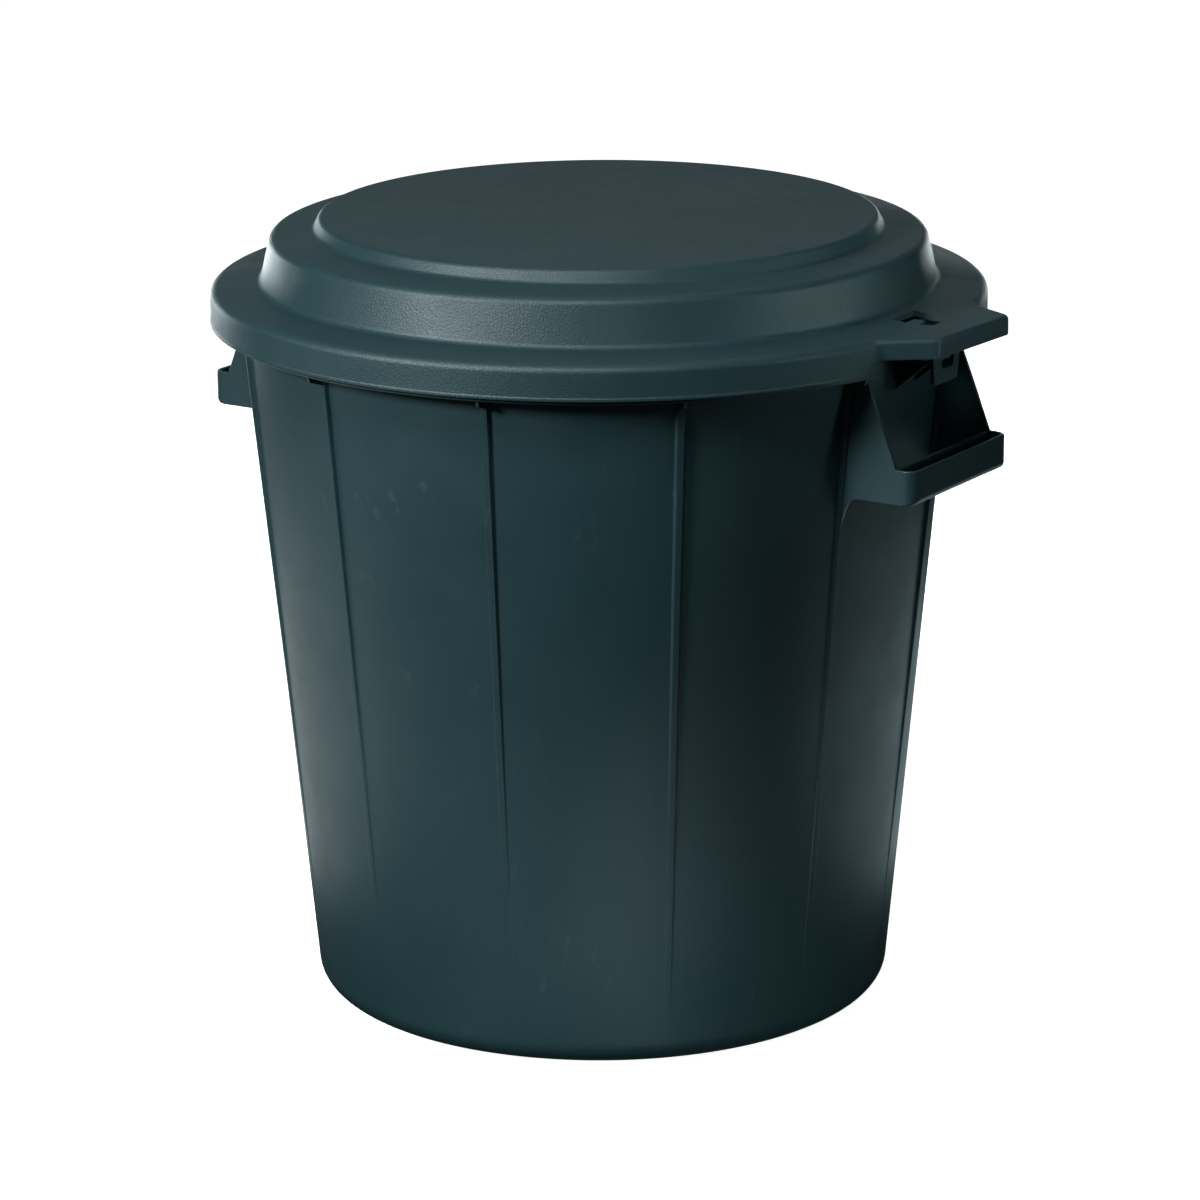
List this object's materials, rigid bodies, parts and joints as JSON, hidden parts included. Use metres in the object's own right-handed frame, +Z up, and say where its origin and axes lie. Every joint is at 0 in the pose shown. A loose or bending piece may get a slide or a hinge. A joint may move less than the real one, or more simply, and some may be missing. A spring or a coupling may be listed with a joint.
{
  "type": "round lidded bin",
  "caption": "Round tapered plastic bin with ribbed wall, moulded side handles and a loose stepped lid with one clip ear.",
  "frame": {"origin": "bottom centre of the whole object's box, on the floor; the bin's own axis is 3.9 mm from it towards -X, because the lid's ear stands out further than the handles", "axes": "+Z up; the two carrying handles lie on +X and -X; the lid's ear and hook are on +X"},
  "size_m": [0.5109, 0.4709, 0.485],
  "materials": {
    "body_plastic": "satin, smooth moulded polypropylene, dark anthracite",
    "lid_plastic": "satin, fine spark-eroded grain, dark anthracite"
  },
  "bodies": {
    "bin": {"bin_body": "body_plastic"},
    "lid": {"lid": "lid_plastic"}
  },
  "joints": [
    {"name": "lid_lift", "type": "slide", "parent": "bin", "child": "lid", "axis": [0, 0, 1], "range_m": [0, 0.2]}
  ]
}
